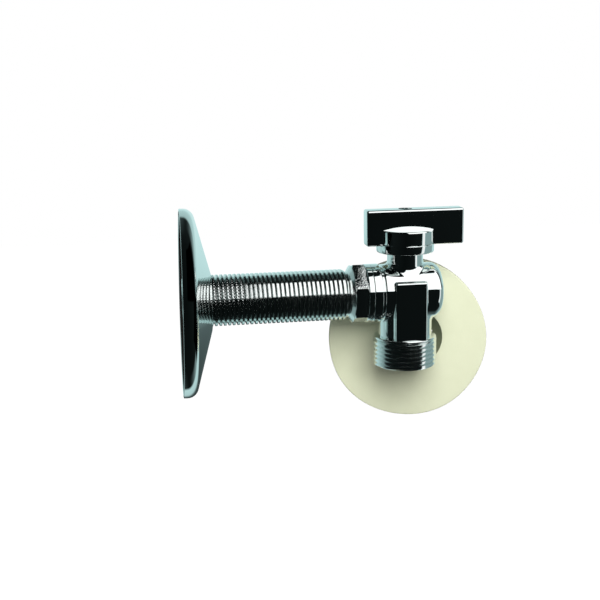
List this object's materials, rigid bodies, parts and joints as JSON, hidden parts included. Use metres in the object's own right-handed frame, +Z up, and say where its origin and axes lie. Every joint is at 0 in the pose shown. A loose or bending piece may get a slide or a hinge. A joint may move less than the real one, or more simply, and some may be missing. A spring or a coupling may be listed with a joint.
{
  "type": "washing machine tap",
  "caption": "Quarter turn angle ball valve with a threaded inlet pipe, a sliding wall rosette, a lever handle, a threaded hose outlet and a loose foam sealing disc.",
  "frame": {"origin": "centre of the inlet pipe's wall end", "axes": "+X along the pipe from the wall to the valve, +Z up along the stem to the handle, the outlet points down"},
  "size_m": [0.1338, 0.078, 0.0987],
  "materials": {
    "chrome_body": "polished",
    "chrome_handle": "polished",
    "chrome_sheet": "polished",
    "plated_ball": "polished",
    "brass": "turned",
    "steel": "turned",
    "seal_plastic": "matte",
    "seal_rubber": "matte",
    "foam": "matte"
  },
  "bodies": {
    "tap": {"inlet_pipe": "chrome_body", "valve_body": "chrome_body", "body_o_ring": "seal_rubber", "inlet_seat": "seal_plastic", "back_seat": "seal_plastic", "thrust_washer": "seal_plastic", "sealing_disc": "foam"},
    "lever": {"handle": "chrome_handle", "handle_screw": "steel", "stem": "brass", "ball": "plated_ball", "stem_o_ring_lower": "seal_rubber", "stem_o_ring_upper": "seal_rubber"},
    "cover": {"rosette": "chrome_sheet"}
  },
  "joints": [
    {"name": "handle_turn", "type": "hinge", "parent": "tap", "child": "lever", "pos_m": [0.094, 0, 0], "axis": [0, 0, 1], "range_deg": [-90, 0]},
    {"name": "rosette_slide", "type": "slide", "parent": "tap", "child": "cover", "axis": [1, 0, 0], "range_m": [0, 0.055]}
  ]
}
